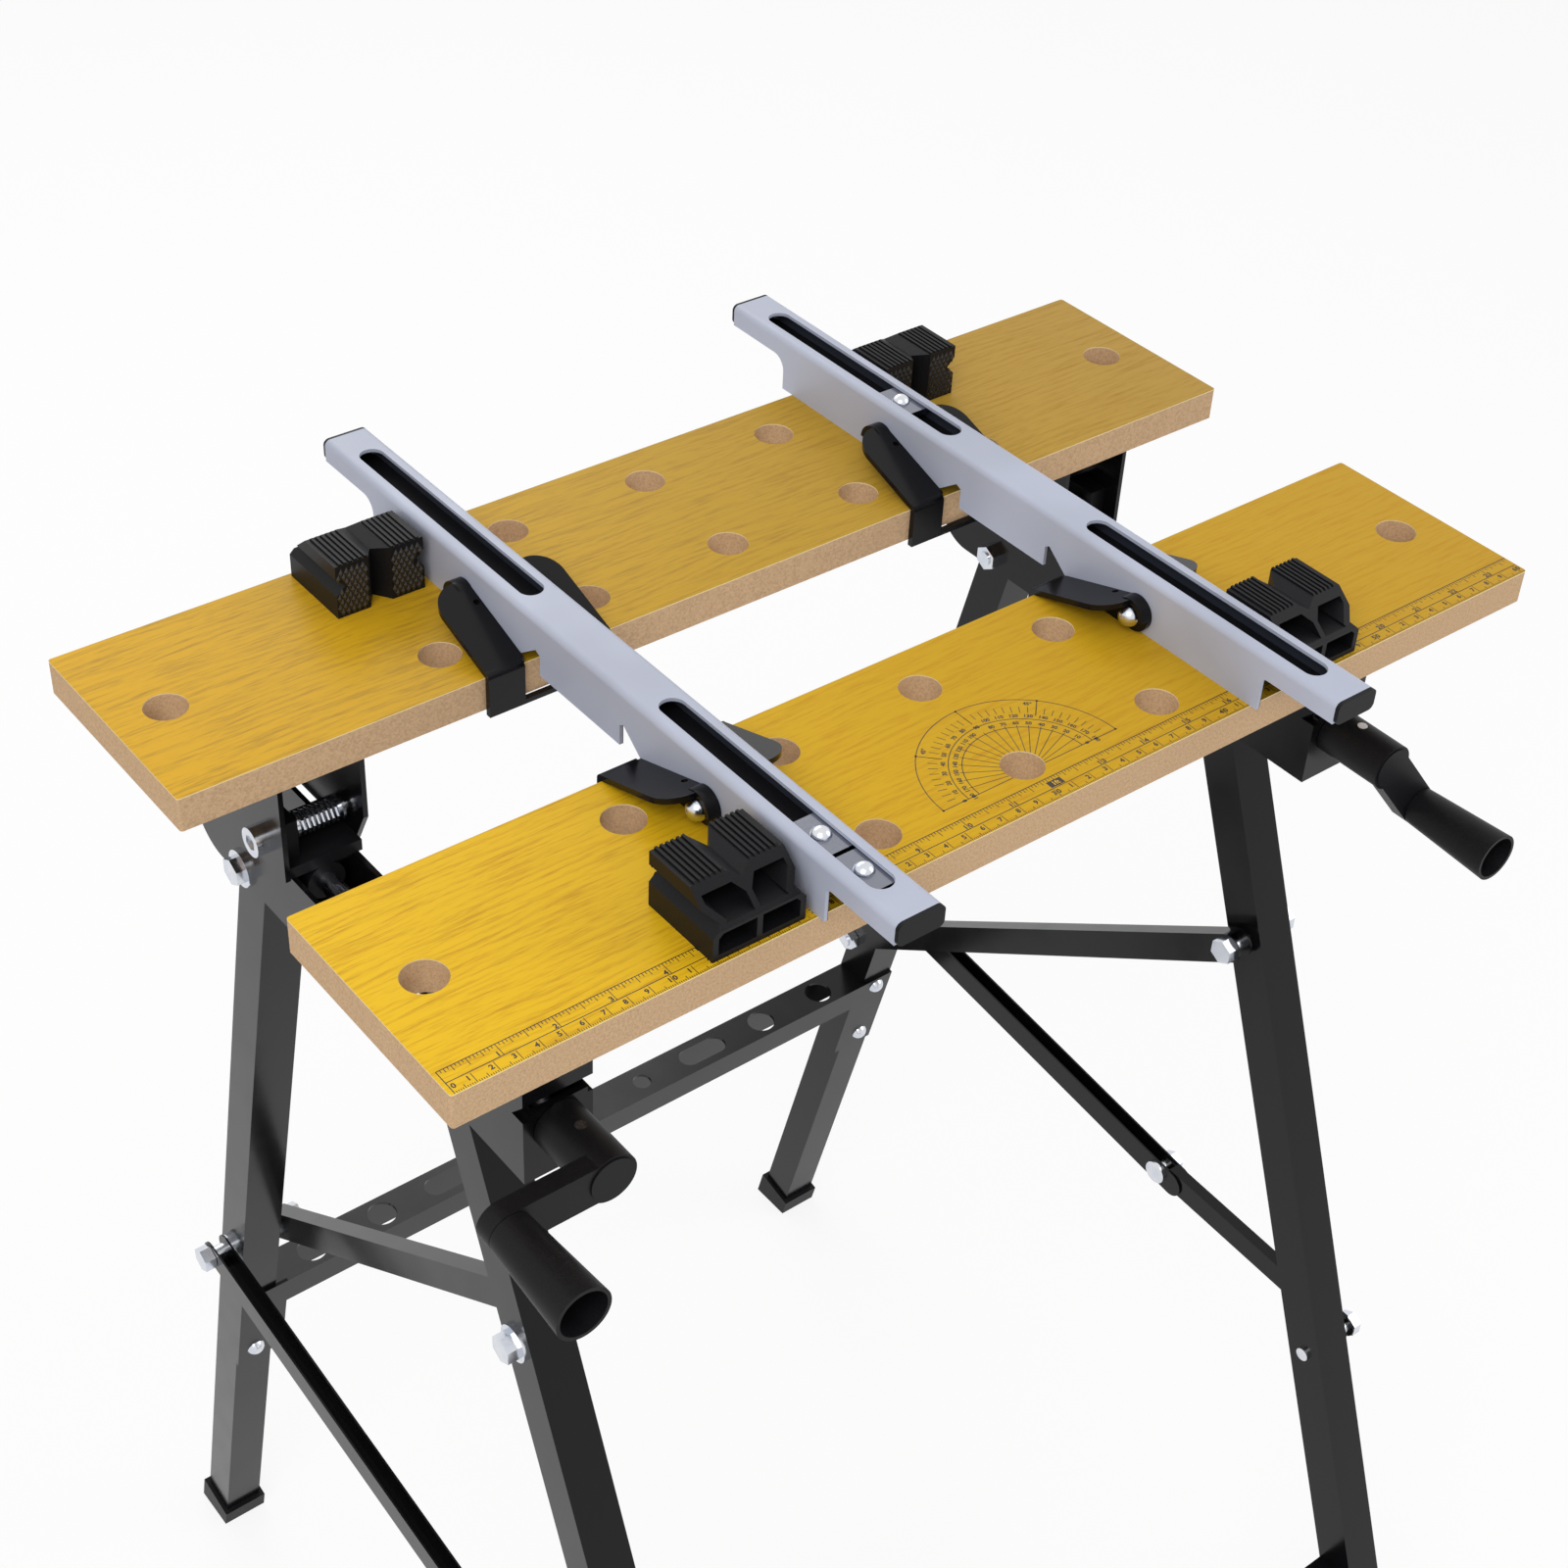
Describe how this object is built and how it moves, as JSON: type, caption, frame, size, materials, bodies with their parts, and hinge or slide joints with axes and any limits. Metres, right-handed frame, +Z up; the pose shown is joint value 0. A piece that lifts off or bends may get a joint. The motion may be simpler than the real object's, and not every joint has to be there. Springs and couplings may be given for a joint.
{
  "type": "folding workbench",
  "caption": "Folding workbench with a two-board vise top, crank spindles, bench dogs, lift-off clamp rails and folding steel legs.",
  "frame": {"origin": "on the floor, at the middle of the rectangle that the four feet cover", "axes": "+X across the bench to the right, +Y from the front jaw to the rear jaw, +Z up"},
  "size_m": [0.605, 0.621, 0.8001],
  "materials": {
    "jaw_wood": "satin yellow wood print on pressed board",
    "black_paint": "glossy black powder coat",
    "silver_paint": "satin silver-blue powder coat",
    "black_plastic": "fine-grained black moulding",
    "zinc": "bright zinc plate"
  },
  "bodies": {
    "bench": {"front_jaw": "jaw_wood", "channel_left": "black_paint", "channel_right": "black_paint", "front_bracket_left": "black_paint", "front_bracket_right": "black_paint", "leg_pivot_bolts": "zinc"},
    "front_legs": {"front_leg_left": "black_paint", "front_leg_right": "black_paint", "front_feet": "black_plastic", "front_crossbar": "black_paint", "front_link_bolts": "zinc"},
    "rear_legs": {"rear_leg_left": "black_paint", "rear_leg_right": "black_paint", "rear_feet": "black_plastic", "rear_stretcher": "black_paint", "stretcher_bolts": "zinc", "rear_link_bolts": "zinc"},
    "struts": {"strut_left": "black_paint", "strut_right": "black_paint", "strut_pins": "zinc"},
    "spreaders_outer": {"spreader_rear_left": "black_paint", "spreader_rear_right": "black_paint", "knuckle_bolts": "zinc"},
    "spreaders_inner": {"spreader_front_left": "black_paint", "spreader_front_right": "black_paint", "spreader_pins": "zinc"},
    "sliding_jaw": {"rear_jaw": "jaw_wood", "carriage_left": "black_paint", "carriage_right": "black_paint", "spindle_nut_left": "black_plastic", "spindle_nut_right": "black_plastic", "carriage_bolts": "zinc", "bolt_springs": "zinc"},
    "vise_left": {"spindle_left": "zinc", "crank_left": "black_plastic"},
    "handle_left": {"grip_left": "black_plastic"},
    "clamp_rail_left": {"rail_left": "silver_paint", "rail_caps_left": "black_plastic", "lever_bolts_left": "zinc"},
    "vise_right": {"spindle_right": "zinc", "crank_right": "black_plastic"},
    "handle_right": {"grip_right": "black_plastic"},
    "clamp_rail_right": {"rail_right": "silver_paint", "rail_caps_right": "black_plastic", "lever_bolts_right": "zinc"},
    "slot_clamp_a": {"slot_clamp_a": "zinc"},
    "slot_clamp_b": {"slot_clamp_b": "zinc"},
    "slot_clamp_c": {"slot_clamp_c": "zinc"},
    "dog_front_left": {"dog_front_left": "black_plastic"},
    "dog_front_right": {"dog_front_right": "black_plastic"},
    "dog_rear_left": {"dog_rear_left": "black_plastic"},
    "dog_rear_right": {"dog_rear_right": "black_plastic"},
    "lever_front_left": {"lever_front_left_outer": "black_paint", "lever_front_left_inner": "black_paint"},
    "lever_front_right": {"lever_front_right_outer": "black_paint", "lever_front_right_inner": "black_paint"},
    "lever_rear_left": {"lever_rear_left_outer": "black_paint", "lever_rear_left_inner": "black_paint"},
    "lever_rear_right": {"lever_rear_right_outer": "black_paint", "lever_rear_right_inner": "black_paint"}
  },
  "joints": [
    {"name": "front_leg_fold", "type": "hinge", "parent": "bench", "child": "front_legs", "pos_m": [0, -0.0265, 0.664], "axis": [1, 0, 0], "range_deg": [0, 96]},
    {"name": "rear_leg_fold", "type": "hinge", "parent": "bench", "child": "rear_legs", "pos_m": [0, 0.1355, 0.664], "axis": [1, 0, 0], "range_deg": [0, 81]},
    {"name": "strut_fold", "type": "hinge", "parent": "rear_legs", "child": "struts", "pos_m": [0, 0.21646, 0.328], "axis": [1, 0, 0], "range_deg": [-36.5, 0]},
    {"name": "spreader_outer_fold", "type": "hinge", "parent": "rear_legs", "child": "spreaders_outer", "pos_m": [0, 0.21646, 0.328], "axis": [1, 0, 0], "range_deg": [0, 6.5]},
    {"name": "spreader_inner_fold", "type": "hinge", "parent": "spreaders_outer", "child": "spreaders_inner", "pos_m": [0, -0.0305, 0.298], "axis": [1, 0, 0], "range_deg": [-133, 0]},
    {"name": "jaw_slide", "type": "slide", "parent": "bench", "child": "sliding_jaw", "axis": [0, 1, 0], "range_m": [0, 0.02]},
    {"name": "spindle_turn_left", "type": "hinge", "parent": "bench", "child": "vise_left", "pos_m": [-0.231, -0.0975, 0.682], "axis": [0, 1, 0], "range_deg": [0, 1801]},
    {"name": "grip_turn_left", "type": "hinge", "parent": "vise_left", "child": "handle_left", "pos_m": [-0.279, -0.1655, 0.682], "axis": [0, 1, 0], "continuous": true},
    {"name": "rail_lift_left", "type": "slide", "parent": "bench", "child": "clamp_rail_left", "axis": [0, 0, 1], "range_m": [0, 0.06]},
    {"name": "spindle_turn_right", "type": "hinge", "parent": "bench", "child": "vise_right", "pos_m": [0.231, -0.0975, 0.682], "axis": [0, 1, 0], "range_deg": [0, 1801]},
    {"name": "grip_turn_right", "type": "hinge", "parent": "vise_right", "child": "handle_right", "pos_m": [0.26121, -0.1655, 0.6447], "axis": [0, 1, 0], "continuous": true},
    {"name": "rail_lift_right", "type": "slide", "parent": "bench", "child": "clamp_rail_right", "axis": [0, 0, 1], "range_m": [0, 0.06]},
    {"name": "lever_front_left_swing", "type": "hinge", "parent": "clamp_rail_left", "child": "lever_front_left", "pos_m": [-0.1207, -0.063, 0.7795], "axis": [1, 0, 0], "range_deg": [0, 25]},
    {"name": "lever_front_right_swing", "type": "hinge", "parent": "clamp_rail_right", "child": "lever_front_right", "pos_m": [0.1239, -0.063, 0.7795], "axis": [1, 0, 0], "range_deg": [0, 25]},
    {"name": "lever_rear_left_swing", "type": "hinge", "parent": "clamp_rail_left", "child": "lever_rear_left", "pos_m": [-0.1207, 0.1196, 0.7795], "axis": [1, 0, 0], "range_deg": [-25, 0]},
    {"name": "lever_rear_right_swing", "type": "hinge", "parent": "clamp_rail_right", "child": "lever_rear_right", "pos_m": [0.1239, 0.1196, 0.7795], "axis": [1, 0, 0], "range_deg": [-25, 0]},
    {"name": "slot_clamp_a_slide", "type": "slide", "parent": "clamp_rail_left", "child": "slot_clamp_a", "axis": [0, 1, 0], "range_m": [0, 0.095]},
    {"name": "slot_clamp_b_slide", "type": "slide", "parent": "clamp_rail_left", "child": "slot_clamp_b", "axis": [0, 1, 0], "range_m": [-0.008, 0]},
    {"name": "slot_clamp_c_slide", "type": "slide", "parent": "clamp_rail_right", "child": "slot_clamp_c", "axis": [0, 1, 0], "range_m": [-0.035, 0.09]},
    {"name": "dog_front_left_lift", "type": "slide", "parent": "bench", "child": "dog_front_left", "axis": [0, 0, 1], "range_m": [0, 0.03]},
    {"name": "dog_front_right_lift", "type": "slide", "parent": "bench", "child": "dog_front_right", "axis": [0, 0, 1], "range_m": [0, 0.03]},
    {"name": "dog_rear_left_lift", "type": "slide", "parent": "sliding_jaw", "child": "dog_rear_left", "axis": [0, 0, 1], "range_m": [0, 0.03]},
    {"name": "dog_rear_right_lift", "type": "slide", "parent": "sliding_jaw", "child": "dog_rear_right", "axis": [0, 0, 1], "range_m": [0, 0.03]}
  ],
  "couplings": [
    {"joint": "rear_leg_fold", "follows": "front_leg_fold", "ratio": 0.84},
    {"joint": "strut_fold", "follows": "front_leg_fold", "ratio": -0.376},
    {"joint": "spreader_outer_fold", "follows": "front_leg_fold", "ratio": 0.063},
    {"joint": "spreader_inner_fold", "follows": "front_leg_fold", "ratio": -1.378},
    {"joint": "spindle_turn_left", "follows": "jaw_slide", "rad_per_m": 1570.8},
    {"joint": "spindle_turn_right", "follows": "jaw_slide", "rad_per_m": 1570.8}
  ]
}
